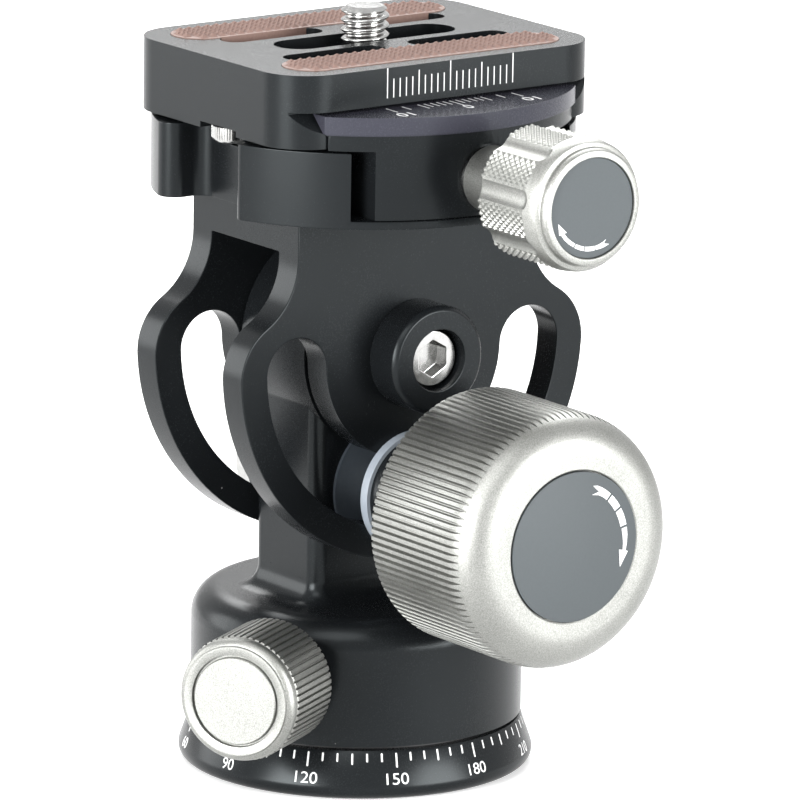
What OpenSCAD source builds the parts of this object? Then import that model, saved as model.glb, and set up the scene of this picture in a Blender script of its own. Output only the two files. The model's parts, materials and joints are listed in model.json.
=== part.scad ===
// Fluid monopod head: panning base, tilting yoke on a damped pivot, dovetail clamp and camera plate.
// Millimetres, Z up. The origin is the mouth of the tripod thread, X is the tilt axis with the knobs
// on its + side, and the camera plate runs along Y.

/* [Base] */
// Largest radius of the base ring
base_r = 23.5; // [22.8:0.1:26]
// Height of the base ring
base_h = 6.35; // [5.5:0.05:8]
// Inward lean of the base ring's side, degrees
base_draft = 19; // [5:1:24]
// Rounding of the base ring's lower edge
base_round = 1.6; // [0.8:0.1:2.4]
// Radius of the tripod thread (3/8 inch)
tripod_r = 4.76; // [3:0.01:5]
// Wall of the steel thread insert
insert_wall = 2.24; // [1.4:0.01:2.6]
// Length of the thread insert
insert_h = 10; // [7:0.5:11]
// Radius of the fixed hub that the housing pans round
hub_r = 10; // [9.2:0.1:11]
// Radius of the pan spindle
spindle_r = 4; // [3:0.1:5]

/* [Panning housing] */
// Radius of the panning housing
housing_r = 21.95; // [20:0.05:24]
// Height of the housing above the pan seam
housing_h = 16.6; // [15.4:0.1:19]
// Rounding of the housing's upper edge
housing_edge = 4.1; // [2:0.1:5]
// Height of the seam between base ring and housing
seam_h = 0.55; // [0.4:0.05:1]

/* [Post] */
// Thickness of the post between the yoke's cheeks
post_t = 14.2; // [13:0.1:16]
// Width of the post along the camera plate's direction
post_w = 24; // [21:0.5:27]
// Corner rounding of the post
post_corner = 2; // [1:0.1:3]
// Fillet where the post stands on the housing
post_foot = 3; // [1.5:0.1:3.8]
// Height of the tilt axis above the base
pivot_z = 57; // [56:0.1:62]
// Radius of the damper drum at the head of the post
drum_r = 14.1; // [13.2:0.05:14.3]

/* [Pan lock] */
// Direction of the pan knob seen from above, degrees from +X
pan_az = -60; // [-80:1:-40]
// Radius of the pan knob
pan_knob_r = 8.27; // [7:0.01:8.6]
// Length of the pan knob's ribbed grip
pan_knob_l = 12.5; // [9:0.1:15]
// Stand-off of the grip from the housing wall
pan_stand = 3.55; // [2.6:0.05:6]
// Radius of the pan lock screw
pan_screw_r = 2.5; // [2:0.1:3]

/* [Yoke] */
// Thickness of each cheek
cheek_t = 4.4; // [3.6:0.1:5.5]
// Gap between the post and each cheek
cheek_gap = 0.5; // [0.4:0.05:0.9]
// Radius of the cheeks' lower outline about the tilt axis
cheek_r = 27.45; // [27:0.05:28.4]
// Rounding of the cheeks' widest corners
cheek_corner = 8; // [7:0.1:9]
// Radius of the waist scallops under the bridge
waist_r = 10; // [9:0.1:10.6]
// Half width of the bridge
bridge_w = 18.7; // [18:0.1:19.6]
// Thickness of the bridge under the clamp
bridge_t = 5.3; // [4.8:0.1:7]
// Gap between the drum and the bridge
bridge_gap = 0.7; // [0.5:0.05:1.5]

/* [Tilt pivot] */
// Radius of the pivot shaft
shaft_r = 5; // [4:0.1:5.4]
// Radius of the pivot caps
cap_r = 7.2; // [6.4:0.1:8]
// Height of the pivot caps
cap_h = 5.6; // [5:0.1:8]
// Radius of the pivot screws' heads
pivot_head_r = 3.65; // [3.3:0.05:4.2]
// Radius of the damper rotor
rotor_r = 9.4; // [8.2:0.1:9.8]

/* [Tilt lock] */
// Distance of the lock bolt below the tilt axis
lock_drop = 18.65; // [18.2:0.05:19]
// Radius of the lock bolt
bolt_r = 4; // [3.5:0.1:4.2]
// Width of the curved slot in each cheek
slot_w = 9.3; // [9:0.05:10]
// Tilt each way from level, degrees
tilt_max = 88; // [60:1:88]
// Radius of the nylon washers over the slots
washer_r = 8.3; // [7.6:0.1:9]
// Thickness of the nylon washers
washer_t = 1.45; // [1:0.05:2]
// Radius of the friction discs beside the post
disc_r = 9.2; // [8:0.1:9.4]
// Radius of the lock knob's neck
neck_r = 7.8; // [6:0.1:8.2]
// Length of the lock knob's neck
neck_l = 12.45; // [11:0.05:15]
// Radius of the lock knob
lock_knob_r = 16.8; // [14:0.1:18]
// Length of the lock knob
lock_knob_l = 21.4; // [18:0.1:24]
// Rounding of the lock knob's front edge
lock_knob_round = 4.9; // [3:0.1:6]

/* [Clamp] */
// Radius of the round clamp
clamp_r = 27.8; // [27.4:0.1:29]
// Height of the clamp's base
clamp_h = 9.9; // [9.4:0.1:11.5]
// Thickness of the lip under the moving jaw
clamp_lip = 1.05; // [0.8:0.05:1.6]
// Half width of the pocket that the jaw slides in
pocket_w = 17.4; // [16.4:0.1:18.4]
// Half width of the jaw's block
jaw_w = 14.67; // [13.4:0.01:15.4]
// Half width of the jaws' wings
wing_w = 20; // [18.4:0.1:21]
// Height of the jaws above the clamp's base
jaw_rise = 4.7; // [4.5:0.05:4.8]
// Travel of the jaw when it opens
jaw_travel = 3.2; // [2.8:0.1:3.4]
// Travel of the camera plate each way between its stop screws
plate_travel = 3; // [2:0.1:3.2]
// Radius of the clamp screw
clamp_screw_r = 2.5; // [2:0.1:3]
// Radius of the clamp knob
clamp_knob_r = 8.7; // [8:0.1:9.2]
// Length of the clamp knob's grip
clamp_knob_l = 13; // [11:0.1:15]
// Radius of the clamp knob's neck
clamp_neck_r = 4.3; // [3.8:0.1:5]
// Length of the clamp knob's neck
clamp_neck_l = 9.1; // [8:0.1:12]
// Number of finger flutes round the clamp knob
flutes = 8; // [6:1:10]

/* [Camera plate] */
// Length of the camera plate
plate_l = 50; // [48:0.5:56]
// Width of the camera plate over its dovetails
plate_w = 38; // [37.6:0.1:38.4]
// Thickness of the camera plate
plate_h = 9.65; // [9.4:0.05:11]
// Corner rounding of the camera plate
plate_corner = 6.5; // [5:0.1:7.4]
// Depth of the dovetail groove in each long side
groove_d = 2.6; // [2.4:0.05:2.8]
// Height of the dovetail's lower lip
groove_lip = 1.9; // [1.6:0.05:2]
// Height of the groove's top above the plate's underside
groove_top = 4.73; // [4.7:0.01:5.2]
// Radius of the camera screw (1/4 inch)
camera_r = 3.175; // [2.4:0.005:3.175]
// Length of the camera screw above the plate
camera_l = 4.2; // [3.5:0.1:5.5]
// Width of the camera screw's slot
camera_slot_w = 6.6; // [6.6:0.05:7.2]
// Half length of the camera screw's slot
camera_slot_l = 13.8; // [11:0.1:15]
// Width of the rubber pads
pad_w = 7.6; // [6.4:0.1:8]
// Half length of the rubber pads
pad_l = 21.3; // [18:0.1:21.8]
// Height of the rubber pads above the plate
pad_proud = 0.5; // [0.3:0.05:0.8]

/* [Hidden] */
$fn = 64;
fit = 0.05;
over = 1;

// Heights up the panning base
housing_z = base_h + seam_h;
housing_top = housing_z + housing_h;
hub_top = housing_top - 4.2;
shoulder_z = insert_h + 3;
insert_r = tripod_r + insert_wall;
spindle_head_r = insert_r - 0.5;
spindle_top = housing_top + 6.5;
pan_z = housing_z + 9.4;
shoe_r = pan_screw_r + 0.9;
shoe_l = 3.5;
pan_lift = 0.8;
grip_s = housing_r + pan_stand;
pan_neck_r = 2 * pan_screw_r;
pan_cap_r = pan_knob_r - 2.57;

// Faces along the tilt axis
post_x = post_t / 2;
cheek_in = post_x + cheek_gap;
cheek_out = cheek_in + cheek_t;
cap_out = cheek_out + cap_h;
cavity_r = rotor_r + 0.6;
wall_far = 3.5;
cover_t = 3;
bush_r = shaft_r + 1.2;
seal_t = 1.1;

// Heights of the yoke and the clamp
bridge_z = pivot_z + drum_r + bridge_gap;
clamp_z = bridge_z + bridge_t;
clamp_top = clamp_z + clamp_h;
lock_z = pivot_z - lock_drop;
slot_cap = slot_w / 2;
slot_end = 90 - tilt_max - 0.3;

// Cheek corners and waist scallops, measured from the tilt axis
corner_y = (cheek_r - cheek_corner) * cos(3);
corner_z = -(cheek_r - cheek_corner) * sin(3);
waist_y = bridge_w + waist_r;
waist_z = corner_z + sqrt(pow(waist_r + cheek_corner, 2) - pow(waist_y - corner_y, 2));
fill_y = corner_y - 0.35 * (waist_y - corner_y);
fill_z = corner_z - 0.35 * (waist_z - corner_z);

// Faces along the lock bolt
washer_out = cheek_out + washer_t;
knob_in = washer_out + neck_l;
knob_round_x = knob_in + lock_knob_l - lock_knob_round;
knob_out = knob_in + lock_knob_l;
bolt_head_r = washer_r + 0.3;
bolt_head_t = 3.1;
label_r = lock_knob_r - 6.97;

// Plate and jaws
plate_z = clamp_top + 0.35;
plate_x = plate_w / 2;
plate_top = plate_z + plate_h;
slope_sum = plate_x + plate_z + groove_lip;
jaw_gap = 0.05 * sqrt(2);
jaw_top = clamp_top + jaw_rise;
jaw_z = clamp_z + clamp_lip + 0.05;
wing_z = clamp_top + 0.2;
wing_x = plate_x + 0.3;
pocket_x = 13;
block_x = pocket_x + jaw_travel + 0.7;
face_r = clamp_r - 0.4;
screw_z = (clamp_z + clamp_lip + clamp_top) / 2 + 0.475;
hub_face = face_r - 0.4;
neck_in = hub_face + 0.8;
grip_x = neck_in + clamp_neck_l;
grip_out = grip_x + clamp_knob_l;
pin_y = 10;
pin_r = 1.5;
spring_r = 2.4;
clamp_label_r = clamp_knob_r - 2.22;

// Screws and dowel that hold the clamp on the bridge
mount_x = -3;
mount_y = 11.5;
dowel_x = -7.5;
dowel_r = 2;

// Clamp notches and the plate's stop screws, one at each end, turned half round from each other
notch_lo = -6.3;
notch_hi = 8;
notch_y = 20.8;
notch_round_lo = 2.2;
notch_round_hi = 1.2;
stop_x = 2.6;
stop_y = plate_l / 2 - 2;
stop_r = 2.5;
stop_drop = 1.4;
pad_x = plate_x - 6.4;
side_slot_x = camera_slot_w / 2 + 3.8;
screw_head_r = 7;
screw_head_t = 3.2;
clip_t = 1.1;
camera_neck_r = camera_r - 0.3;
well_r = screw_head_r + 0.3;
well_top = plate_z + 5.05;

// Cylinder and tube along X
module xcyl(r, x0, x1) {
    translate([x0, 0, 0]) rotate([0, 90, 0]) cylinder(r = r, h = x1 - x0);
}
module xtube(ro, ri, x0, x1) {
    difference() {
        xcyl(ro, x0, x1);
        xcyl(ri, x0 - over, x1 + over);
    }
}
// Solid turned about X from a profile drawn as (radius, x)
module xturn() {
    rotate([0, 90, 0]) mirror([1, 0, 0]) rotate_extrude() children();
}
// Rectangle from (x0, y0) to (x1, y1)
module rect(x0, y0, x1, y1) {
    translate([x0, y0]) square([x1 - x0, y1 - y0]);
}
// Straight slot with round ends along Y
module stadium(r, l) {
    translate([0, l - r]) circle(r);
    translate([0, r - l]) circle(r);
    rect(-r, r - l, r, l - r);
}
module rounded(x, y, r) {
    rect(-x, r - y, x, y - r);
    rect(r - x, -y, x - r, y);
    for (i = [-1, 1], j = [-1, 1]) translate([i * (x - r), j * (y - r)]) circle(r);
}
// Things on the pan lock's axis, drawn along X from the pan axis
module on_pan_lock() {
    rotate([0, 0, pan_az]) translate([0, 0, pan_z]) children();
}
module on_pivot() {
    translate([0, 0, pivot_z]) children();
}
module on_lock() {
    translate([0, 0, lock_z]) children();
}
module on_clamp_screw() {
    translate([0, 0, screw_z]) children();
}
// The same thing at both ends of the plate, turned half round
module both_ends() {
    children();
    rotate([0, 0, 180]) children();
}
// Drawn in the YZ plane and thickened along X
module along_x(x0, x1) {
    translate([x0, 0, 0]) rotate([90, 0, 90]) linear_extrude(x1 - x0) children();
}
// Drawn in the XZ plane and thickened along Y both ways
module along_y(w) {
    rotate([90, 0, 0]) linear_extrude(2 * w, center = true) children();
}
module hex_socket(r, depth) {
    cylinder(r = r, h = depth + over, $fn = 6);
}

module base_ring() {
    a = base_draft;
    cx = base_r - 1.02 * base_round;
    tx = cx + base_round * cos(a);
    tz = base_round * (1 + sin(a));
    top_r = tx - (base_h - tz) * tan(a);
    color("#242427") difference() {
        rotate_extrude($fn = 96) {
            polygon([[0, 0], [cx, 0], [cx, base_round], [tx, tz], [top_r, base_h], [0, base_h]]);
            translate([cx, base_round]) circle(base_round);
            rect(0, base_h - over, hub_r, hub_top);
        }
        translate([0, 0, -over]) cylinder(r = insert_r, h = shoulder_z + over);
        cylinder(r = spindle_r + fit, h = hub_top + over);
        translate([0, 0, -over]) cylinder(r = insert_r + 0.6, h = over + 0.6);
    }
}

module thread_insert() {
    color("#b9b9ba") difference() {
        cylinder(r = insert_r, h = insert_h);
        translate([0, 0, -over]) cylinder(r = tripod_r, h = insert_h + 2 * over);
    }
}

module pan_thrust_washer() {
    color("#141415") translate([0, 0, base_h]) difference() {
        cylinder(r = housing_r - 1.35, h = seam_h);
        translate([0, 0, -over]) cylinder(r = hub_r + 1, h = seam_h + 2 * over);
    }
}

module pan_spindle() {
    head_z = insert_h + 0.3;
    color("#b9b9ba") difference() {
        union() {
            translate([0, 0, head_z]) cylinder(r = spindle_head_r, h = shoulder_z - fit - head_z);
            translate([0, 0, head_z]) cylinder(r = spindle_r, h = spindle_top - head_z);
        }
        translate([0, 0, head_z - over]) hex_socket(2.9, 2);
    }
}

// Hollow quarter round where the post meets the housing
module foot_profile() {
    difference() {
        rect(-0.5, -0.5, post_foot, post_foot);
        translate([post_foot, post_foot]) circle(post_foot);
    }
}
module post_foot_fillet() {
    y = post_w / 2;
    for (s = [0, 180]) rotate([0, 0, s]) {
        translate([0, y, 0]) rotate([90, 0, 90])
            linear_extrude(post_t - 2 * post_corner, center = true) foot_profile();
        translate([post_x, 0, 0]) rotate([90, 0, 0])
            linear_extrude(post_w - 2 * post_corner, center = true) foot_profile();
    }
    for (i = [-1, 1], j = [-1, 1])
        translate([i * (post_x - post_corner), j * (y - post_corner), 0])
            rotate_extrude() translate([post_corner, 0]) foot_profile();
}

module body() {
    color("#232326") difference() {
        union() {
            rotate_extrude($fn = 96) {
                rect(0, housing_z, housing_r, housing_top - housing_edge);
                rect(0, housing_z, housing_r - housing_edge, housing_top);
                translate([housing_r - housing_edge, housing_top - housing_edge]) circle(housing_edge);
            }
            translate([0, 0, housing_top - over]) linear_extrude(pivot_z - housing_top + over)
                rounded(post_x, post_w / 2, post_corner);
            translate([0, 0, housing_top]) post_foot_fillet();
            on_pivot() xcyl(drum_r, -post_x, post_x);
        }
        translate([0, 0, housing_z - over]) cylinder(r = hub_r + fit, h = hub_top + 0.2 - housing_z + over);
        translate([0, 0, hub_top]) cylinder(r = spindle_r, h = spindle_top - hub_top + 0.2);
        on_pan_lock() {
            xcyl(shoe_r + fit, hub_r - over, hub_r + shoe_l + pan_lift + 0.4);
            xcyl(pan_screw_r + fit, hub_r, housing_r + over);
        }
        on_lock() xcyl(bolt_r + fit, -post_x - over, post_x + over);
        on_pivot() {
            xcyl(cavity_r, wall_far - post_x, post_x + over);
            xcyl(bush_r, -post_x - over, 0);
        }
    }
}

module pan_brake_shoe() {
    color("#d9d4c4") difference() {
        on_pan_lock() xcyl(shoe_r, hub_r - over, hub_r + shoe_l);
        cylinder(r = hub_r + fit, h = housing_top);
    }
}

module pan_lock_screw() {
    color("#b9b9ba") on_pan_lock() xcyl(pan_screw_r, hub_r + shoe_l, grip_s + pan_knob_l - 4);
}

module pan_lock_knob() {
    e = grip_s + pan_knob_l;
    color("#a39c91") on_pan_lock() difference() {
        xturn() {
            rect(0, housing_r + 0.55, pan_neck_r, grip_s + over);
            rect(0, grip_s, pan_knob_r, e - 0.8);
            rect(0, grip_s, pan_knob_r - 0.8, e);
            translate([pan_knob_r - 0.8, e - 0.8]) circle(0.8);
        }
        xcyl(pan_screw_r, grip_s - pan_stand, e - 4);
        xcyl(pan_cap_r + 0.4, e - 0.6, e + over);
        xcyl(pan_cap_r, e - 1.2, e + over);
    }
}

module pan_knob_cap() {
    e = grip_s + pan_knob_l;
    color("#b3aca1") on_pan_lock() xcyl(pan_cap_r, e - 1.2, e - 0.1);
}

module pivot_bushes() {
    color("#a98b4e") on_pivot() {
        xtube(bush_r, shaft_r + fit, -post_x, wall_far - post_x - seal_t);
        xtube(bush_r, shaft_r + fit, post_x - cover_t + seal_t, post_x);
    }
}

module damper_seals() {
    color("#1a1a1b") on_pivot() {
        xtube(bush_r, shaft_r + fit, wall_far - post_x - seal_t, wall_far - post_x);
        xtube(bush_r, shaft_r + fit, post_x - cover_t, post_x - cover_t + seal_t);
    }
}

module damper_cover() {
    color("#303033") on_pivot() xtube(cavity_r, bush_r, post_x - cover_t, post_x);
}

// Disc with four shearing vanes in the fluid, fixed to the shaft
module damper_rotor() {
    x0 = wall_far - post_x + 0.4;
    x1 = post_x - cover_t - 0.4;
    color("#8f8f91") on_pivot() difference() {
        union() {
            xcyl(rotor_r, (x0 + x1) / 2 - 0.8, (x0 + x1) / 2 + 0.8);
            xcyl(shaft_r + 1, x0, x1);
            for (r = [7.4, rotor_r - 0.3]) xtube(r + 0.3, r - 0.3, x0 + 0.4, x1 - 0.4);
        }
        xcyl(shaft_r, x0 - over, x1 + over);
    }
}

module tilt_washers() {
    color("#2b2b2e") on_pivot() for (s = [0, 180]) rotate([0, 0, s])
        xtube(lock_drop - disc_r - 0.35, shaft_r + fit, post_x, cheek_in);
}

module pivot_shaft() {
    color("#b9b9ba") on_pivot() difference() {
        xcyl(shaft_r, -cheek_out, cheek_out);
        for (s = [0, 180]) rotate([0, 0, s]) xcyl(2.5, cheek_out - 8, cheek_out + over);
    }
}

module pivot_cap() {
    difference() {
        xturn() {
            rect(0, cheek_out, cap_r, cap_out - 0.6);
            polygon([[0, cheek_out], [cap_r, cap_out - 0.6], [cap_r - 0.55, cap_out], [0, cap_out]]);
        }
        xcyl(2.6, cheek_out - over, cap_out);
        xcyl(pivot_head_r + 0.45, cap_out - 4.7, cap_out + over);
    }
}
module pivot_cap_near() {
    color("#262629") on_pivot() pivot_cap();
}
module pivot_cap_far() {
    color("#262629") on_pivot() rotate([0, 0, 180]) pivot_cap();
}

module pivot_screws() {
    color("#c4c4c6") on_pivot() for (s = [0, 180]) rotate([0, 0, s]) difference() {
        union() {
            xcyl(pivot_head_r, cap_out - 4.7, cap_out - 1.5);
            xcyl(2.5, cheek_out - 7.5, cap_out - 4);
        }
        translate([cap_out - 3.6, 0, 0]) rotate([0, 90, 0]) hex_socket(2.45, 2.1);
    }
}

// Solid of the cheeks' outline about the tilt axis: round foot, rounded corners and the neck
module cheek_block() {
    along_x(-cheek_out, cheek_out) intersection() {
        circle(cheek_r, $fn = 96);
        rect(-2 * cheek_r, -2 * cheek_r, 2 * cheek_r, -cheek_r * sin(3) - 0.2);
    }
    along_x(-cheek_out, cheek_out) for (s = [-1, 1]) translate([s * corner_y, corner_z]) circle(cheek_corner);
    along_x(-cheek_out, cheek_out) polygon([
        [-bridge_w, clamp_z - pivot_z], [bridge_w, clamp_z - pivot_z], [bridge_w, waist_z], [waist_y, waist_z],
        [fill_y, fill_z], [fill_y, -9], [-fill_y, -9], [-fill_y, fill_z], [-waist_y, waist_z],
        [-bridge_w, waist_z]]);
}

// Curved slot that swings past the lock bolt
module cheek_slot() {
    a = slot_end;
    far = 2 * cheek_r;
    intersection() {
        difference() {
            circle(lock_drop + slot_cap, $fn = 96);
            circle(lock_drop - slot_cap, $fn = 96);
        }
        polygon([[0, 0], [far, -far * tan(a)], [far, -far], [-far, -far], [-far, -far * tan(a)]]);
    }
    for (s = [-1, 1]) translate([s * lock_drop * cos(a), -lock_drop * sin(a)]) circle(slot_cap);
}

module yoke() {
    color("#232326") difference() {
        on_pivot() cheek_block();
        on_pivot() for (s = [-1, 1]) translate([0, s * waist_y, waist_z])
            xcyl(waist_r, -cheek_out - over, cheek_out + over);
        on_pivot() along_x(-cheek_in, cheek_in)
            rect(-2 * cheek_r, -2 * cheek_r, 2 * cheek_r, bridge_z - pivot_z);
        on_pivot() along_x(-cheek_out - over, cheek_out + over) cheek_slot();
        on_pivot() xcyl(shaft_r, -cheek_out - over, cheek_out + over);
        for (s = [-1, 1]) translate([mount_x, s * mount_y, clamp_z - 4.6]) cylinder(r = 2, h = 5 + over);
        translate([dowel_x, 0, clamp_z - 3.5]) cylinder(r = dowel_r, h = 4 + over);
    }
}

module lock_bolt() {
    e = knob_out - 5;
    color("#c4c4c6") on_lock() {
        difference() {
            xturn() {
                rect(0, -washer_out - bolt_head_t + 0.5, bolt_head_r, -washer_out);
                polygon([[0, -washer_out - 1], [bolt_head_r, -washer_out - bolt_head_t + 0.5],
                         [bolt_head_r - 0.5, -washer_out - bolt_head_t], [0, -washer_out - bolt_head_t]]);
            }
            translate([-washer_out - bolt_head_t - over, 0, 0]) rotate([0, 90, 0]) hex_socket(3.4, 2);
        }
        xcyl(bolt_r, -washer_out - over, e);
    }
}

module friction_discs() {
    color("#9aa5b1") on_lock() for (s = [0, 180]) rotate([0, 0, s])
        xtube(disc_r, bolt_r + fit, post_x, cheek_in);
}

module slot_washer_near() {
    color("#dfe5ee") on_lock() xtube(washer_r, bolt_r + fit, cheek_out, washer_out);
}
module slot_washer_far() {
    color("#dfe5ee") on_lock() rotate([0, 0, 180]) xtube(washer_r, bolt_r + fit, cheek_out, washer_out);
}

module lock_spacer() {
    color("#1e1e21") on_lock() xtube(neck_r, bolt_r + fit, washer_out, knob_in);
}

module lock_knob() {
    color("#a39c91") on_lock() difference() {
        xturn() {
            rect(0, knob_in + 0.5, lock_knob_r, knob_round_x);
            polygon([[0, knob_in], [lock_knob_r - 0.5, knob_in], [lock_knob_r, knob_in + 0.5], [0, knob_in + 1]]);
            rect(0, knob_in, lock_knob_r - lock_knob_round, knob_out);
            translate([lock_knob_r - lock_knob_round, knob_round_x]) circle(lock_knob_round);
        }
        xcyl(bolt_r + 2.4, knob_in - over, knob_out - 5.4);
        xcyl(bolt_r + fit, knob_in, knob_out - 4);
        xcyl(label_r + 0.2, knob_out - 0.6, knob_out + over);
    }
}

module lock_knob_insert() {
    color("#b08d4c") on_lock() xtube(bolt_r + 2.4, bolt_r + fit, knob_in, knob_out - 5.4);
}

module lock_knob_label() {
    color("#6e6c6b") on_lock() xcyl(label_r, knob_out - 0.6, knob_out + 0.2);
}

// Profile of a jaw's hook over the plate's dovetail, on the + side, drawn as (x, z)
module hook_profile(z0) {
    s = slope_sum + jaw_gap;
    polygon([[s - jaw_top, jaw_top], [2 * clamp_r, jaw_top], [2 * clamp_r, z0], [wing_x, z0],
             [wing_x, s - wing_x]]);
}

// What a rounding of radius r takes off where a notch wall at x meets the rim, on side s of the notch
module notch_corner(x, s, r) {
    cx = x + s * r;
    cy = -sqrt(pow(clamp_r - r, 2) - cx * cx);
    out = (clamp_r + 1) / (clamp_r - r);
    difference() {
        polygon([[cx, cy], [x - s * over, cy], [x - s * over, -clamp_r - 1], [cx * out, cy * out]]);
        translate([cx, cy]) circle(r);
    }
}

module clamp_notch() {
    far = clamp_r + 10;
    translate([0, 0, clamp_z - over]) linear_extrude(clamp_h + 2 * over) {
        rect(notch_lo, -far, notch_hi, -notch_y - 2);
        rect(notch_lo + 2, -far, notch_hi - 2, -notch_y);
        for (x = [notch_lo + 2, notch_hi - 2]) translate([x, -notch_y - 2]) circle(2);
        notch_corner(notch_lo, -1, notch_round_lo);
        notch_corner(notch_hi, 1, notch_round_hi);
    }
    // Pocket that the stop screw travels in
    translate([stop_x, plate_travel / 2 - stop_y, clamp_top - stop_drop - 0.85])
        linear_extrude(stop_drop + over) stadium(stop_r + 0.6, stop_r + 0.6 + plate_travel / 2 + 0.2);
}

module clamp_body() {
    color("#232326") difference() {
        union() {
            translate([0, 0, clamp_z]) cylinder(r = clamp_r, h = clamp_h, $fn = 96);
            intersection() {
                translate([0, 0, clamp_z]) cylinder(r = clamp_r - 0.3, h = 2 * clamp_h, $fn = 96);
                mirror([1, 0, 0]) along_y(wing_w) hook_profile(clamp_top - over);
            }
            for (s = [-1, 1]) translate([s * 12 - 1.5, -16, clamp_top - over]) cube([3, 32, 1.35]);
        }
        both_ends() clamp_notch();
        translate([pocket_x, -pocket_w, clamp_z + clamp_lip]) cube([2 * clamp_r, 2 * pocket_w, 2 * clamp_h]);
        on_clamp_screw() {
            xcyl(clamp_screw_r + fit, 3, pocket_x + over);
            for (s = [-1, 1]) translate([0, s * pin_y, 0]) xcyl(pin_r, pocket_x - 8, pocket_x + over);
        }
        for (s = [-1, 1]) translate([mount_x, s * mount_y, 0]) {
            translate([0, 0, clamp_z - over]) cylinder(r = 2.1, h = clamp_h + 2 * over);
            translate([0, 0, clamp_top - 4.4]) cylinder(r = 3.7, h = 4.4 + over);
        }
        translate([dowel_x, 0, clamp_z - over]) cylinder(r = dowel_r, h = 3.5 + over);
    }
}

module clamp_mount_screws() {
    color("#8b8b8d") for (s = [-1, 1]) translate([mount_x, s * mount_y, 0]) difference() {
        union() {
            translate([0, 0, clamp_z - 4.3]) cylinder(r = 2, h = clamp_h);
            translate([0, 0, clamp_top - 4.4]) cylinder(r = 3.5, h = 4);
        }
        translate([0, 0, clamp_top - 2.4]) hex_socket(1.75, 2);
    }
}

module clamp_locating_pin() {
    color("#b9b9ba") translate([dowel_x, 0, clamp_z - 3.4]) cylinder(r = dowel_r, h = 6.7);
}

module jaw_guide_pins() {
    color("#b9b9ba") on_clamp_screw() for (s = [-1, 1]) translate([0, s * pin_y, 0])
        xcyl(pin_r, pocket_x - 7.8, pocket_x + 10);
}

// Springs that push the jaw open, drawn at their closed length
module jaw_springs() {
    color("#b9b9ba") on_clamp_screw() for (s = [-1, 1]) translate([0, s * pin_y, 0])
        for (x = [pocket_x + 0.4 : 1.2 : block_x + 3.2]) translate([x, 0, 0]) rotate([0, 90, 0])
            rotate_extrude($fn = 32) translate([spring_r - 0.36, 0]) circle(0.34, $fn = 16);
}

module clamp_jaw() {
    color("#2b2930") difference() {
        union() {
            intersection() {
                along_y(wing_w) hook_profile(wing_z);
                union() {
                    cylinder(r = face_r, h = 2 * pivot_z, $fn = 96);
                    translate([0, 0, jaw_top - 2.3]) cylinder(r = clamp_r, h = 2.3 + over, $fn = 96);
                }
            }
            intersection() {
                translate([block_x, -jaw_w, jaw_z]) cube([clamp_r, 2 * jaw_w, wing_z - jaw_z]);
                cylinder(r = face_r, h = 2 * pivot_z, $fn = 96);
            }
        }
        on_clamp_screw() {
            xcyl(clamp_screw_r + 0.1, block_x - over, clamp_r + over);
            xcyl(clamp_neck_r + 0.2, hub_face, clamp_r + over);
            for (s = [-1, 1]) translate([0, s * pin_y, 0]) {
                xcyl(pin_r + fit, block_x - over, pocket_x + 10.4);
                xcyl(spring_r + 0.3, block_x - over, block_x + 4);
            }
        }
    }
}

module clamp_thrust_washer() {
    color("#b9b9ba") on_clamp_screw() xtube(clamp_neck_r - 0.1, clamp_screw_r + 0.1, hub_face, neck_in);
}

module clamp_screw() {
    color("#b9b9ba") on_clamp_screw() xcyl(clamp_screw_r, 4.4, grip_out - 4.5);
}

module clamp_knob() {
    color("#a39c91") on_clamp_screw() difference() {
        xturn() {
            rect(0, neck_in, clamp_neck_r, grip_x + over);
            rect(0, grip_x + 0.5, clamp_knob_r, grip_out - 3.4);
            polygon([[0, grip_x], [clamp_knob_r - 0.5, grip_x], [clamp_knob_r, grip_x + 0.5], [0, grip_x + 1]]);
            polygon([[0, grip_out - 4], [clamp_knob_r, grip_out - 3.4], [clamp_knob_r - 0.25, grip_out - 1.3],
                     [clamp_knob_r - 1.2, grip_out], [0, grip_out]]);
        }
        xcyl(clamp_screw_r, neck_in - over, grip_out - 4.5);
        xcyl(clamp_label_r + 0.3, grip_out - 0.8, grip_out + over);
        // Scalloped finger flutes, open at the back and with ball ends at the front
        for (i = [0 : flutes - 1]) rotate([36.2 + i * 360 / flutes, 0, 0]) translate([0, clamp_knob_r + 1.5, 0]) {
            xcyl(2.2, grip_x - over, grip_out - 4.2);
            translate([grip_out - 4.2, 0, 0]) sphere(2.2, $fn = 32);
        }
    }
}

module clamp_knob_label() {
    color("#6e6c6b") on_clamp_screw() xcyl(clamp_label_r, grip_out - 0.8, grip_out - 0.3);
}

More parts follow.
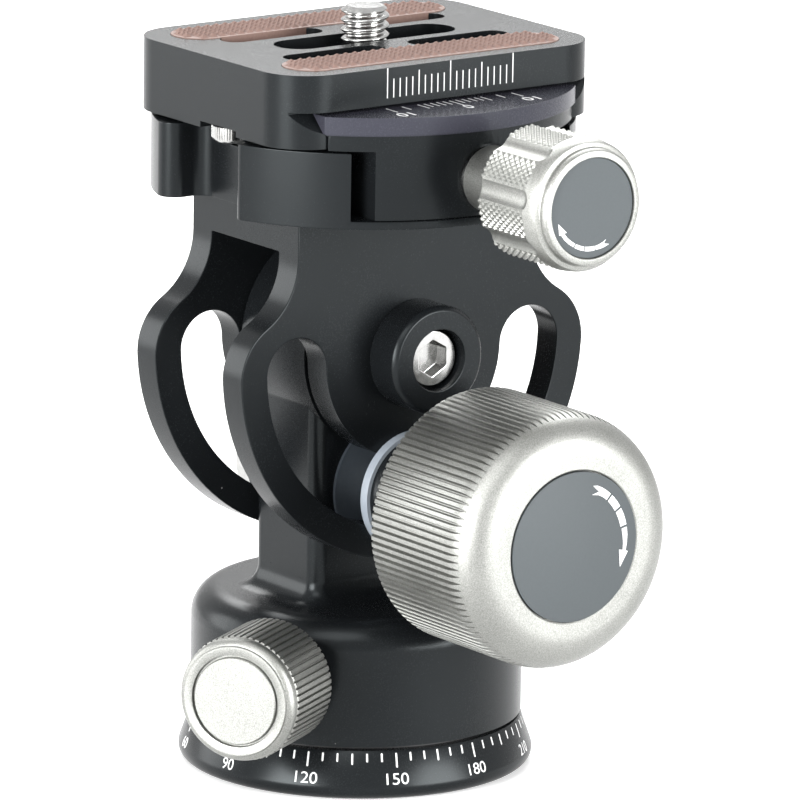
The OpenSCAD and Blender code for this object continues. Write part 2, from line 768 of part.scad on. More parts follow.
module plate() {
    color("#232326") difference() {
        translate([0, 0, plate_z]) linear_extrude(plate_h) rounded(plate_x, plate_l / 2, plate_corner);
        // Dovetail grooves along both sides
        for (s = [0, 180]) rotate([0, 0, s]) along_y(plate_l) {
            wall = plate_x - groove_d;
            top = plate_z + groove_top;
            polygon([[wall, top], [2 * plate_x, top], [2 * plate_x, slope_sum - 2 * plate_x],
                     [wall, slope_sum - wall]]);
        }
        // Camera screw's slot over its well
        translate([0, 0, plate_z - over]) linear_extrude(plate_h + 2 * over)
            stadium(camera_slot_w / 2, camera_slot_l);
        translate([0, 0, plate_z - over]) linear_extrude(well_top - plate_z + over)
            stadium(well_r, camera_slot_l - camera_slot_w / 2 + well_r);
        // Weight-saving slots beside it
        for (i = [-1, 1], j = [-1, 1]) translate([i * side_slot_x, j * 9.9, plate_top - 2.5])
            linear_extrude(2.5 + over) stadium(2, 7.7);
        for (s = [-1, 1]) translate([s * pad_x, 0, plate_top - 1]) linear_extrude(1 + over)
            stadium(pad_w / 2, pad_l);
        both_ends() translate([stop_x, -stop_y, plate_z - over]) {
            linear_extrude(0.8 + over) {
                circle(4);
                rect(-4, -6, 4, 0);
            }
            cylinder(r = 1.25, h = 6 + over);
        }
    }
}

module plate_pads() {
    color("#4a3f3a") for (s = [-1, 1]) translate([s * pad_x, 0, plate_top - 1])
        linear_extrude(1 + pad_proud) stadium(pad_w / 2, pad_l);
}

module stop_screws() {
    color("#b9b9ba") both_ends() translate([stop_x, -stop_y, 0]) difference() {
        union() {
            translate([0, 0, plate_z - stop_drop]) cylinder(r = stop_r, h = stop_drop + 0.8);
            translate([0, 0, plate_z]) cylinder(r = 1.25, h = 6);
        }
        translate([0, 0, plate_z - stop_drop - over]) hex_socket(1.2, 1.4);
    }
}

module camera_screw() {
    head_z = well_top - 0.1 - clip_t - screw_head_t;
    color("#b9b9ba") difference() {
        union() {
            translate([0, 0, head_z]) cylinder(r = screw_head_r, h = screw_head_t);
            translate([0, 0, head_z]) cylinder(r = camera_neck_r, h = plate_top + 0.2 - head_z);
            translate([0, 0, plate_top + 0.06]) cylinder(r = camera_r, h = camera_l - 0.66);
            translate([0, 0, plate_top + camera_l - 0.6]) cylinder(r1 = camera_r, r2 = camera_r - 0.6, h = 0.6);
        }
        translate([-2 * screw_head_r, -0.9, head_z - over]) cube([4 * screw_head_r, 1.8, 1.4 + over]);
        translate([0, 0, head_z - over]) hex_socket(2.9, 2.6);
    }
}

module screw_clip() {
    color("#2a2a2c") translate([0, 0, well_top - 0.1 - clip_t]) difference() {
        cylinder(r = screw_head_r, h = clip_t);
        translate([0, 0, -over]) cylinder(r = camera_neck_r + fit, h = clip_t + 2 * over);
    }
}

base_ring();
thread_insert();
pan_thrust_washer();
pan_spindle();
body();
pan_brake_shoe();
pan_lock_screw();
pan_lock_knob();
pan_knob_cap();
pivot_bushes();
damper_rotor();
damper_cover();
damper_seals();
tilt_washers();
pivot_shaft();
pivot_cap_near();
pivot_cap_far();
pivot_screws();
yoke();
lock_bolt();
friction_discs();
slot_washer_far();
slot_washer_near();
lock_spacer();
lock_knob();
lock_knob_insert();
lock_knob_label();
clamp_body();
clamp_mount_screws();
clamp_locating_pin();
jaw_guide_pins();
jaw_springs();
clamp_jaw();
clamp_thrust_washer();
clamp_screw();
clamp_knob();
clamp_knob_label();
plate();
plate_pads();
screw_clip();
camera_screw();
stop_screws();
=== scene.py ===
import json
import math
import bpy
from mathutils import Matrix, Vector


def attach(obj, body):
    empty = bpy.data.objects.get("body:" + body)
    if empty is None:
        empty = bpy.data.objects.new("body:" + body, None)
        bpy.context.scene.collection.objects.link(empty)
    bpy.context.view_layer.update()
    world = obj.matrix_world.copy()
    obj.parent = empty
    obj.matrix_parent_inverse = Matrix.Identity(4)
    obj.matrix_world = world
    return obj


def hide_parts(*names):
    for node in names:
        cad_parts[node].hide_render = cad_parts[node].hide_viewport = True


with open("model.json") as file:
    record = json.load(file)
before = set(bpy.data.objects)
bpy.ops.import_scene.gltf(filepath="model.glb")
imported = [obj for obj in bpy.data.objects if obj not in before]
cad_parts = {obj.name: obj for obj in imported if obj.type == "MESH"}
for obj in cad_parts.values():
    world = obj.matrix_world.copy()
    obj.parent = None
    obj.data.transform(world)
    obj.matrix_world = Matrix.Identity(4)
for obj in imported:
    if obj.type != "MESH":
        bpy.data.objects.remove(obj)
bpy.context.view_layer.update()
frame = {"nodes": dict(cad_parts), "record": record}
mm = 0.001
alongX = Matrix.Rotation(math.radians(90), 4, "Y")    # a piece turned about its own Z, laid along +X
print("solids loaded")


# Picking and drawing

def clearPick():
    if bpy.context.object and bpy.context.object.mode != "OBJECT":
        bpy.ops.object.mode_set(mode="OBJECT")
    bpy.ops.object.select_all(action="DESELECT")


def pickOnly(piece, *others):
    clearPick()
    for other in others:
        other.select_set(True)
    piece.select_set(True)
    bpy.context.view_layer.objects.active = piece


def tidyMesh(piece, gap=0.0005):
    pickOnly(piece)
    bpy.ops.object.mode_set(mode="EDIT")
    bpy.ops.mesh.select_all(action="SELECT")
    bpy.ops.mesh.remove_doubles(threshold=gap * mm)
    bpy.ops.mesh.normals_make_consistent(inside=False)
    bpy.ops.object.mode_set(mode="OBJECT")


def drawLine(name, points):    # one vertex pulled along the points, which are in mm
    clearPick()
    bpy.ops.mesh.primitive_plane_add(size=mm)
    line = bpy.context.object
    line.name = line.data.name = name
    bpy.ops.object.mode_set(mode="EDIT")
    bpy.ops.mesh.merge(type="CENTER")
    bpy.ops.transform.translate(value=Vector(points[0]) * mm)
    for here, there in zip(points, points[1:]):
        step = (Vector(there) - Vector(here)) * mm
        bpy.ops.mesh.extrude_region_move(TRANSFORM_OT_translate={"value": step})
    return line


def turned(name, profile, steps=128, place=None):    # profile of (radius, height), spun about Z
    piece = drawLine(name, [(r, 0, h) for r, h in profile])
    bpy.ops.mesh.select_all(action="SELECT")
    bpy.ops.mesh.spin(steps=steps, angle=2 * math.pi, center=(0, 0, 0), axis=(0, 0, 1))
    tidyMesh(piece)
    return settle(piece, place)


def slab(name, outline, low, high, axis="z"):    # flat outline, thickened along one axis
    order = {"x": lambda u, v, w: (w, u, v), "z": lambda u, v, w: (u, v, w)}[axis]
    points = [order(u, v, low) for u, v in outline]
    piece = drawLine(name, points + points[:1])
    bpy.ops.mesh.select_all(action="SELECT")
    bpy.ops.mesh.remove_doubles(threshold=0.0005 * mm)
    bpy.ops.mesh.edge_face_add()
    bpy.ops.mesh.extrude_region_move(TRANSFORM_OT_translate={"value": Vector(order(0, 0, high - low)) * mm})
    tidyMesh(piece)
    return piece


def arc(cx, cy, r, start, end, count):
    turns = [math.radians(start + (end - start) * i / count) for i in range(count + 1)]
    return [(cx + r * math.cos(t), cy + r * math.sin(t)) for t in turns]


def settle(piece, place=None):    # moves a piece and leaves its object at the origin
    if place is not None:
        piece.matrix_world = place
    pickOnly(piece)
    bpy.ops.object.transform_apply(location=True, rotation=True, scale=True)
    return piece


def joined(name, pieces):
    pickOnly(pieces[0], *pieces[1:])
    if len(pieces) > 1:
        bpy.ops.object.join()
    pieces[0].name = pieces[0].data.name = name
    return pieces[0]


def copied(name, piece, places):    # one copy for each matrix, joined
    copies = []
    for place in places:
        pickOnly(piece)
        bpy.ops.object.duplicate()
        twin = bpy.context.object
        twin.data.transform(place)
        copies.append(twin)
    bpy.data.objects.remove(piece)
    return joined(name, copies)


def aroundZ(count, first=0.0, step=None):
    step = 360 / count if step is None else step
    return [Matrix.Rotation(math.radians(first + i * step), 4, "Z") for i in range(count)]


def carve(piece, *cutters, way="DIFFERENCE"):
    for cutter in cutters:
        cut = piece.modifiers.new("carve", "BOOLEAN")
        cut.operation, cut.solver, cut.object = way, "EXACT", cutter
        pickOnly(piece)
        bpy.ops.object.modifier_apply(modifier=cut.name)
        bpy.data.objects.remove(cutter)
    return piece


def eased(piece, width, segments=2, limit=35):    # narrow rounded edges
    ease = piece.modifiers.new("ease", "BEVEL")
    ease.width, ease.segments = width * mm, segments
    ease.limit_method, ease.angle_limit = "ANGLE", math.radians(limit)
    ease.miter_outer = "MITER_ARC"
    pickOnly(piece)
    bpy.ops.object.modifier_apply(modifier=ease.name)
    return piece


def dressed(name, node, width, segments=2, limit=35):    # clean copy of a solid, with eased edges
    piece = bpy.data.objects.new(name, frame["nodes"][node].data.copy())
    bpy.context.scene.collection.objects.link(piece)
    piece.data.name = name
    pickOnly(piece)
    bpy.ops.object.mode_set(mode="EDIT")
    bpy.ops.mesh.customdata_custom_splitnormals_clear()
    bpy.ops.mesh.select_all(action="SELECT")
    bpy.ops.mesh.remove_doubles(threshold=0.002 * mm)
    bpy.ops.mesh.dissolve_limited(angle_limit=math.radians(0.15))
    bpy.ops.object.mode_set(mode="OBJECT")
    return eased(piece, width, segments, limit) if width else piece


def shown(piece, body, slot, *nodes, smooth=30, even=False):    # finish, body and the solids it stands for
    pickOnly(piece)
    bpy.ops.object.shade_smooth_by_angle(angle=math.radians(smooth))
    if even:    # broad flat faces keep their own normals beside the narrow rounded ones
        evener = piece.modifiers.new("even", "WEIGHTED_NORMAL")
        evener.mode, evener.weight, evener.keep_sharp = "FACE_AREA", 50, True
        bpy.ops.object.modifier_apply(modifier=evener.name)
    piece.data.materials.clear()
    piece.data.materials.append(finishes[slot])
    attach(piece, body)
    if nodes:
        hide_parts(*nodes)
    return piece


# Finishes

class Wire:    # one value in a finish's node tree
    def __init__(self, finish, socket):
        self.finish, self.socket = finish, socket

    def maths(self, operation, first, second):
        return self.finish.node("ShaderNodeMath", {"operation": operation}, {0: first, 1: second})

    def __add__(self, other):
        return self.maths("ADD", self, other)

    def __sub__(self, other):
        return self.maths("SUBTRACT", self, other)

    def __rsub__(self, other):
        return self.maths("SUBTRACT", other, self)

    def __mul__(self, other):
        return self.maths("MULTIPLY", self, other)

    def __lt__(self, other):
        return self.maths("LESS_THAN", self, other)

    def __gt__(self, other):
        return self.maths("GREATER_THAN", self, other)

    __radd__, __rmul__ = __add__, __mul__


class Finish:
    def __init__(self, name, **fixed):
        self.material = bpy.data.materials.new(name)
        self.material.use_nodes = True
        self.tree = self.material.node_tree
        self.shader = self.tree.nodes["Principled BSDF"]
        for socket, value in fixed.items():
            self.shader.inputs[socket.replace("_", " ")].default_value = value
        self.place = self.node("ShaderNodeTexCoord", out="Object")

    def node(self, kind, settings=None, sockets=None, out=0):
        node = self.tree.nodes.new(kind)
        for name, value in (settings or {}).items():
            setattr(node, name, value)
        for name, value in (sockets or {}).items():
            if isinstance(value, Wire):
                self.tree.links.new(value.socket, node.inputs[name])
            else:
                node.inputs[name].default_value = value
        return Wire(self, node.outputs[out])

    def feed(self, socket, wire):
        self.tree.links.new(wire.socket, self.shader.inputs[socket])
        return self

    def noise(self, scale, detail=2.0, rough=0.5):
        sockets = {"Vector": self.place, "Scale": scale, "Detail": detail, "Roughness": rough}
        return self.node("ShaderNodeTexNoise", sockets=sockets)

    def mix(self, mask, dark, light):    # each end is a colour or another wire
        low, high = (end if isinstance(end, Wire) else (*end, 1) for end in (dark, light))
        return self.node("ShaderNodeMix", {"data_type": "RGBA"}, {"Factor": mask, 6: low, 7: high}, out=2)

    def bump(self, height, strength, depth):
        sockets = {"Height": height, "Strength": strength, "Distance": depth * mm}
        return self.feed("Normal", self.node("ShaderNodeBump", sockets=sockets))


anodised = {"dark": (0.0042, 0.0050, 0.0057), "light": (0.0098, 0.0110, 0.0121), "grain": 5200, "gloss": 0.26}


def anodisedFinish(name, dark, light, grain, gloss, lip=None, tint=None):    # bead-blasted and dyed aluminium
    finish = Finish(name, Metallic=0.0, Specular_IOR_Level=0.18, Specular_Tint=(0.90, 0.98, 1.0, 1), IOR=1.5)
    fine = finish.noise(grain, 3.0, 0.6)
    cloud = finish.noise(90, 2.0)
    spread = {"Vector": finish.place, "Scale": 210.0}
    specks = finish.node("ShaderNodeTexVoronoi", sockets=spread, out="Distance")
    chosen = finish.noise(60, 0.0)
    dust = (specks < 0.022) * (chosen > 0.56)    # a few pale specks
    dye = finish.mix(fine * 0.7 + cloud * 0.3, dark, light)
    if lip:    # the dye is paler above this height
        high = finish.node("ShaderNodeSeparateXYZ", sockets={"Vector": finish.place}, out="Z") > lip * mm
        dye = finish.mix(high, dye, finish.mix(fine, *tint))
    finish.feed("Base Color", finish.mix(dust * 0.5, dye, (0.35, 0.35, 0.35)))
    finish.feed("Roughness", gloss + (fine - 0.5) * 0.10 + (cloud - 0.5) * 0.05)
    return finish.bump(fine, 0.55, 0.012)


# blasted metal with a fine sparkle
def satinMetal(name, dark, light, gloss, grain=4200, depth=0.012, strength=0.5):
    finish = Finish(name, Metallic=1.0)
    fine = finish.noise(grain, 3.0, 0.65)
    cloud = finish.noise(120, 2.0)
    finish.feed("Base Color", finish.mix((fine - 0.5) * 1.7 + cloud * 0.3 + 0.35, dark, light))
    finish.feed("Roughness", gloss + (fine - 0.5) * 0.22 + (cloud - 0.5) * 0.06)
    return finish.bump(fine, strength, depth)


def plainFinish(name, dark, light, gloss, grain=1500, depth=0.006, **fixed):    # moulded, painted or printed
    finish = Finish(name, **fixed)
    fine = finish.noise(grain, 2.0)
    cloud = finish.noise(140, 2.0)
    finish.feed("Base Color", finish.mix(fine * 0.6 + cloud * 0.4, dark, light))
    finish.feed("Roughness", gloss + (cloud - 0.5) * 0.08)
    return finish.bump(fine, 0.3, depth)


finishes = {
    "black_anodised": anodisedFinish("blackAnodised", **anodised),
    "jaw_anodised": anodisedFinish("jawAnodised", **anodised, lip=89.2,
                                   tint=((0.026, 0.026, 0.035), (0.046, 0.046, 0.060))),
    "champagne": satinMetal("champagneAnodised", (0.15, 0.153, 0.145), (0.42, 0.424, 0.402),
                            0.43, 6500, 0.02, 1.0),
    "steel": satinMetal("stainlessSteel", (0.38, 0.38, 0.375), (0.52, 0.52, 0.51), 0.19, 1500, 0.004, 0.2),
    "brass": satinMetal("turnedBrass", (0.52, 0.36, 0.13), (0.66, 0.47, 0.19), 0.28, 1500, 0.004, 0.2),
    "nylon": plainFinish("whiteNylon", (0.25, 0.28, 0.32), (0.30, 0.335, 0.375), 0.42),
    "friction_blue": plainFinish("frictionDisc", (0.05, 0.062, 0.076), (0.075, 0.090, 0.108), 0.5),
    "label_grey": plainFinish("greyLabel", (0.066, 0.075, 0.080), (0.078, 0.088, 0.093),
                              0.6, 3000, 0.003, Specular_IOR_Level=0.25),
    "black_plastic": plainFinish("blackPlastic", (0.010, 0.010, 0.011), (0.016, 0.016, 0.017), 0.45),
    "black_rubber": plainFinish("blackSeal", (0.012, 0.012, 0.012), (0.02, 0.02, 0.02), 0.7),
    "pad_rubber": plainFinish("brownRubber", (0.145, 0.084, 0.067), (0.27, 0.168, 0.138), 0.62, 2600, 0.03),
    "white_print": plainFinish("whitePrint", (0.72, 0.72, 0.72), (0.80, 0.80, 0.80), 0.5, 2600, 0.004),
}
finishes = {slot: finish.material for slot, finish in finishes.items()}
for part in frame["record"]["subparts"]:
    mesh = frame["nodes"][part["node"]].data
    mesh.materials.clear()
    mesh.materials.append(finishes[part["material_slot"]])
print("finishes made")


def number(word, wide, tall):    # plain digits, centred, with a real width and height
    clearPick()
    bpy.ops.object.text_add()
    text = bpy.context.object
    text.data.body, text.data.size = word, tall * mm * 1.4
    text.data.extrude = 0.03 * mm
    bpy.ops.object.convert(target="MESH")
    across, up = ([v.co[i] for v in text.data.vertices] for i in (0, 1))
    for v in text.data.vertices:
        v.co.x = (v.co.x - (min(across) + max(across)) / 2) * wide * mm / (max(across) - min(across))
        v.co.y = (v.co.y - (min(up) + max(up)) / 2) * tall * mm / (max(up) - min(up))
    return text


# Panning base

base = {"r": 23.5, "h": 6.35, "lean": 19, "round": 1.6, "recess": 0.6,
        "hub": 10, "hubTop": 19.3, "bore": 7.0, "shoulder": 13, "spindle": 4.05}
baseMarks = {"top": 6.08, "width": 0.24, "short": 1.15, "middle": 1.5, "long": 1.95, "sunk": 0.05,
             "proud": 0.02, "digit": 1.5, "digitWide": 1.0, "digitMid": 2.85, "turn": -171.6}


def makeBase(b, marks):
    cx = b["r"] - 1.02 * b["round"]
    lean = math.radians(b["lean"])
    tx, tz = cx + b["round"] * math.cos(lean), b["round"] * (1 + math.sin(lean))
    top = tx - (b["h"] - tz) * math.tan(lean)
    bore, recess, low = b["bore"], b["recess"], b["round"]
    profile = [(bore, recess), (bore + recess, recess), (bore + recess, 0),
               *arc(cx, low, low, -90, b["lean"], 12),
               (top + 0.1, b["h"] - 0.3), (top - 0.15, b["h"]), (b["hub"], b["h"]),
               (b["hub"], b["hubTop"]), (b["spindle"], b["hubTop"]),
               (b["spindle"], b["shoulder"]), (bore, b["shoulder"]), (bore, recess)]
    shown(turned("baseRing", profile, 192), "base", "black_anodised", "base_ring", smooth=32)

    def coneR(z):
        return tx - (z - tz) * math.tan(lean)

    strokes = []
    for step in range(72):
        n = step * 5
        length = marks["long"] if n % 30 == 0 else marks["middle"] if n % 15 == 0 else marks["short"]
        strokes.append((n + marks["turn"], length))
    ticks = []
    for length in sorted({s[1] for s in strokes}):
        w = marks["width"] / 2
        outline = arc(0, -w, w, 0, 180, 6) + arc(0, w - length, w, 180, 360, 6)
        tick = slab("tick", outline, -marks["sunk"], marks["proud"])
        # own Z faces outward and own Y runs up the cone
        slope = Matrix.Rotation(math.radians(90 - b["lean"]), 4, "X")
        stand = Matrix.Translation(Vector((0, -coneR(marks["top"]), marks["top"])) * mm) @ slope
        tick = settle(tick, stand)
        turns = [Matrix.Rotation(math.radians(a + 90), 4, "Z") for a, l in strokes if l == length]
        ticks.append(copied("ticks", tick, turns))
    shown(joined("baseTicks", ticks), "base", "white_print")

    digits = []
    for n in range(0, 360, 30):
        text = number(str(n), marks["digitWide"] * len(str(n)), marks["digit"])
        for v in text.data.vertices:    # wrapped round the cone
            x, y, lift = v.co / mm
            z = marks["digitMid"] + y * math.cos(lean)
            r = coneR(z) + lift * 0.7
            turn = math.radians(n + marks["turn"]) + x / coneR(marks["digitMid"])
            v.co = Vector((r * math.cos(turn), r * math.sin(turn), z)) * mm
        digits.append(text)
    shown(joined("baseNumbers", digits), "base", "white_print")


makeBase(base, baseMarks)
print("base ring and scale made")


# Panning housing, post and drum

shown(dressed("housingPostDrum", "body", 0.0), "pan", "black_anodised", "body", smooth=32, even=True)

panKnob = {"axis": -60, "height": 16.3, "wall": 21.95, "start": 25.5, "end": 38.0, "r": 8.27,
           "neck": 5.0, "bore": 2.5, "cap": 5.8, "ribs": 58, "depth": 0.42}


def makePanKnob(k):
    aim = Matrix.Rotation(math.radians(k["axis"]), 4, "Z")
    place = Matrix.Translation((0, 0, k["height"] * mm)) @ aim @ alongX
    s, e, r, cap, neck, bore = (k[part] for part in ("start", "end", "r", "cap", "neck", "bore"))
    foot = k["wall"] + 0.55
    profile = [(bore, foot), (neck - 0.3, foot), (neck, foot + 0.3), (neck, s), (r - 0.5, s), (r, s + 0.5),
               (r, e - 1.95), (r - 0.16, e - 1.8), (r - 0.17, e - 1.4),    # end of the ribs
               *arc(r - 1.32, e - 1.35, 1.17, 8, 72, 9),    # rounded bead
               (r - 0.98, e - 0.26), (r - 1.03, e - 0.05), (r - 1.1, e), (cap + 0.5, e),
               (cap + 0.3, e - 0.1), (cap + 0.22, e - 0.6), (cap, e - 0.6), (cap, e - 1.2),
               (bore, e - 4.0), (bore, foot)]
    knob = turned("panKnob", profile, 174)
    half = math.pi * r / k["ribs"]
    low, high = r - k["depth"], r + 0.4
    section = [(low, -half * 0.20), (high, -half * 0.62), (high, half * 0.62), (low, half * 0.20)]
    groove = slab("groove", section, s - 1, e - 1.82)
    carve(knob, copied("grooves", groove, aroundZ(k["ribs"])))
    shown(settle(knob, place), "pan_knob", "champagne", "pan_lock_knob", smooth=28)
    rim = cap - 0.02
    disc = [(0, e - 1.2), (rim, e - 1.2), (rim, e - 0.18), (rim - 0.12, e - 0.04), (0, e - 0.04)]
    shown(turned("panKnobCap", disc, 96, place), "pan_knob", "champagne", "pan_knob_cap")


makePanKnob(panKnob)
print("pan knob made")


# Tilt lock

lockKnob = {"height": 38.35, "start": 25.9, "end": 47.3, "r": 16.8, "round": 4.9, "bore": 6.4, "bolt": 4.05,
            "label": 9.83, "seat": 0.6, "proud": 0.17, "ribs": 108, "depth": 0.5, "flat": 0.42}


def makeLockKnob(k):
    place = Matrix.Translation((0, 0, k["height"] * mm)) @ alongX
    s, e, r, c, bore, bolt = (k[part] for part in ("start", "end", "r", "round", "bore", "bolt"))
    label, seat = k["label"], e - k["seat"]
    profile = [(bore, s), (r - 0.6, s), (r - 0.15, s + 0.15), (r, s + 0.55),
               *arc(r - c, e - c, c, 0, 90, 24),
               (label + 0.32, e), (label + 0.12, e - 0.12), (label + 0.1, seat), (0, seat), (0, e - 4),
               (bolt, e - 4), (bolt, e - 5.4), (bore, e - 5.4), (bore, s)]
    knob = turned("lockKnob", profile, 216)
    half = math.pi * r / k["ribs"]
    low, high, wide = r - k["depth"], r + 0.5, half * (1 - k["flat"]) * 1.55
    section = [(low, -half * 0.12), (high, -wide), (high, wide), (low, half * 0.12)]
    groove = slab("groove", section, s - 1, e)
    carve(knob, copied("grooves", groove, aroundZ(k["ribs"], 360 / k["ribs"] / 2)))
    shown(settle(knob, place), "lock_knob", "champagne", "lock_knob", smooth=28)
    face = e + k["proud"]
    disc = [(0, seat), (label, seat), (label, face - 0.05), (label - 0.1, face), (0, face)]
    shown(turned("lockLabel", disc, 128, place), "lock_knob", "label_grey", "lock_knob_label")


def polar(points):
    return [(r * math.cos(math.radians(a)), r * math.sin(math.radians(a))) for r, a in points]


def sweep(inner, outer, start, end):    # curved bar between two angles
    count = max(4, int(abs(end - start) / 3))
    turns = [start + (end - start) * i / count for i in range(count + 1)]
    return polar([(outer, a) for a in turns] + [(inner, a) for a in reversed(turns)])


def makeArrow(name, shapes, face, proud, height, body):
    bars = []
    for shape in shapes:
        bars.append(slab(name, shape, face - 0.05, face + proud, "x"))
    arrow = joined(name, bars)
    return shown(settle(arrow, Matrix.Translation((0, 0, height * mm))), body, "white_print")


makeLockKnob(lockKnob)
makeArrow("lockArrow", [
    polar([(8.42, 48.6), (8.44, 54), (8.44, 60), (8.40, 66), (8.20, 70.5), (7.78, 61.5),
           (7.05, 68.5), (7.38, 60), (7.45, 54), (7.46, 48.6)]),
    sweep(7.45, 8.43, 46.4, 32.4), sweep(7.47, 8.42, 30.0, 13.6),
    polar([(8.42, 11.2), (8.40, 4), (8.34, -3), (8.28, -10.4), (8.66, -10.8), (8.12, -26.0),
           (7.22, -10.0), (7.82, -10.2), (7.74, -3), (7.66, 4), (7.60, 11.2)]),
], lockKnob["end"] + lockKnob["proud"], 0.028, lockKnob["height"], "lock_knob")
print("lock knob made")


# Clamp knob

clampKnob = {"height": 83.05, "neckStart": 27.8, "start": 36.9, "end": 49.9, "r": 8.7, "neck": 4.3,
             "bore": 2.5, "label": 6.48, "labelFace": 0.3, "flutes": 8, "fluteTurn": 36.2, "fluteR": 2.2,
             "fluteAt": 10.2, "fluteEnd": 4.2, "knurlEnd": 46.6, "pitchAlong": 1.16, "pitchRound": 0.86,
             "tooth": 0.2}


def makeClampKnob(k):
    place = Matrix.Translation((0, 0, k["height"] * mm)) @ alongX
    s, e, r, neck, bore, label = (k[part] for part in ("start", "end", "r", "neck", "bore", "label"))
    low, foot, knurlEnd = r - k["tooth"], k["neckStart"], k["knurlEnd"]
    profile = [(bore, foot), (neck - 0.2, foot), (neck, foot + 0.2), (neck, s - 0.15), (neck + 0.15, s),
               (low - 0.25, s), (low, s + 0.25), (low, knurlEnd - 0.2), (r - 0.06, knurlEnd + 0.15),
               (r, e - 3.4), (r - 0.22, e - 1.75), (r - 0.5, e - 1.35), (r - 0.98, e - 1.2),
               (r - 1.08, e - 1.05), (r - 1.06, e - 0.75), (r - 1.14, e - 0.35),
               (r - 1.36, e - 0.08), (r - 1.6, e),
               (label + 0.14, e), (label + 0.06, e - 0.06), (label + 0.05, e - 0.3), (label + 0.05, e - 0.8),
               (0, e - 0.8), (0, e - 4.5), (bore, e - 4.5), (bore, foot)]
    knob = turned("clampKnob", profile, 160)
    fluteR, fluteTop = k["fluteR"], e - k["fluteEnd"]
    bullet = [(0, s - 1), (fluteR, s - 1), *arc(0, fluteTop, fluteR, 0, 90, 8)[:-1], (0, fluteTop + fluteR)]
    out = Matrix.Translation((0, k["fluteAt"] * mm, 0))
    places = [turn @ out for turn in aroundZ(k["flutes"], k["fluteTurn"])]
    carve(knob, copied("flutes", turned("flute", bullet, 48), places))

    tall = k["tooth"] + 0.04
    clearPick()
    bpy.ops.mesh.primitive_cone_add(vertices=4, radius1=0.5 * mm, radius2=0.14 * mm, depth=tall * mm)
    tooth = bpy.context.object
    stand = Matrix.Translation((0, (r - tall / 2) * mm, 0)) @ Matrix.Rotation(math.radians(-90), 4, "X")
    settle(tooth, stand @ Matrix.Diagonal((k["pitchRound"] * 1.02, k["pitchAlong"] * 1.02, 1, 1)))
    # half the angle of a land, where the flutes leave it
    cut = math.acos((r * r + k["fluteAt"] ** 2 - fluteR ** 2) / (2 * r * k["fluteAt"]))
    half = 360 / k["flutes"] / 2 - math.degrees(cut)
    across = math.degrees(k["pitchRound"] / r)
    rows = int((knurlEnd - s) / (k["pitchAlong"] / 2))
    seats = []
    for land in range(k["flutes"]):
        middle = k["fluteTurn"] + (land + 0.5) * 360 / k["flutes"]
        for row in range(rows):
            x = s + (row + 0.55) * k["pitchAlong"] / 2
            for column in range(-4, 5):
                turn = (column + (row % 2) / 2) * across
                if abs(turn) < half - across * 0.12 and x < knurlEnd - 0.3:
                    spot = Matrix.Rotation(math.radians(middle + turn), 4, "Z")
                    seats.append(spot @ Matrix.Translation((0, 0, x * mm)))
    knob = joined("clampKnob", [knob, copied("teeth", tooth, seats)])
    shown(settle(knob, place), "clamp_knob", "champagne", "clamp_knob", smooth=28)
    face = e - k["labelFace"]
    disc = [(0, e - 0.8), (label, e - 0.8), (label, face - 0.06), (label - 0.08, face), (0, face)]
    shown(turned("clampLabel", disc, 112, place), "clamp_knob", "label_grey", "clamp_knob_label")


makeClampKnob(clampKnob)
makeArrow("clampArrow", [
    polar([(5.52, -82.5), (5.60, -76), (5.68, -68), (5.72, -60.0), (5.22, -67.5), (4.88, -61.5),
           (4.96, -68), (5.0, -76), (5.0, -82.5)]),
    sweep(4.98, 5.56, -84.2, -100.6), sweep(5.0, 5.54, -102.6, -118.6),
    polar([(5.52, -120.6), (5.58, -130), (5.64, -140), (5.66, -147.6), (5.92, -149.5), (5.48, -164.0),
           (4.78, -145.0), (5.18, -147.0), (5.12, -138), (5.06, -129), (5.02, -120.6)]),
], clampKnob["end"] - clampKnob["labelFace"], 0.028, clampKnob["height"], "clamp_knob")
print("clamp knob made")


# Yoke, caps, clamp, jaw and plate

dressedPieces = [    # name, node, body, finish, width and segments of the eased edges
    ("yokeCheeks", "yoke", "tilt", "black_anodised", 0.22, 2),
    ("pivotCapNear", "pivot_cap_near", "tilt", "black_anodised", 0.18, 2),
    ("pivotCapFar", "pivot_cap_far", "tilt", "black_anodised", 0.18, 2),
    ("pivotScrews", "pivot_screws", "tilt", "steel", 0.15, 2),
    ("lockBolt", "lock_bolt", "pan", "steel", 0.15, 2),
    ("clampBase", "clamp_body", "tilt", "black_anodised", 0.25, 2),
    ("movingJaw", "clamp_jaw", "jaw", "jaw_anodised", 0.25, 2),
    ("cameraPlate", "plate", "plate", "black_anodised", 0.38, 3),
]
for name, node, body, finish, edge, segments in dressedPieces:
    shown(dressed(name, node, edge, segments), body, finish, node, even=True)
print("yoke, clamp and plate dressed")

pads = {"x": 12.6, "halfWidth": 3.8, "halfLength": 21.3, "low": 96.0, "floor": 97.1, "top": 97.5,
        "sunk": 0.04, "across": 0.9, "along": 1.44}


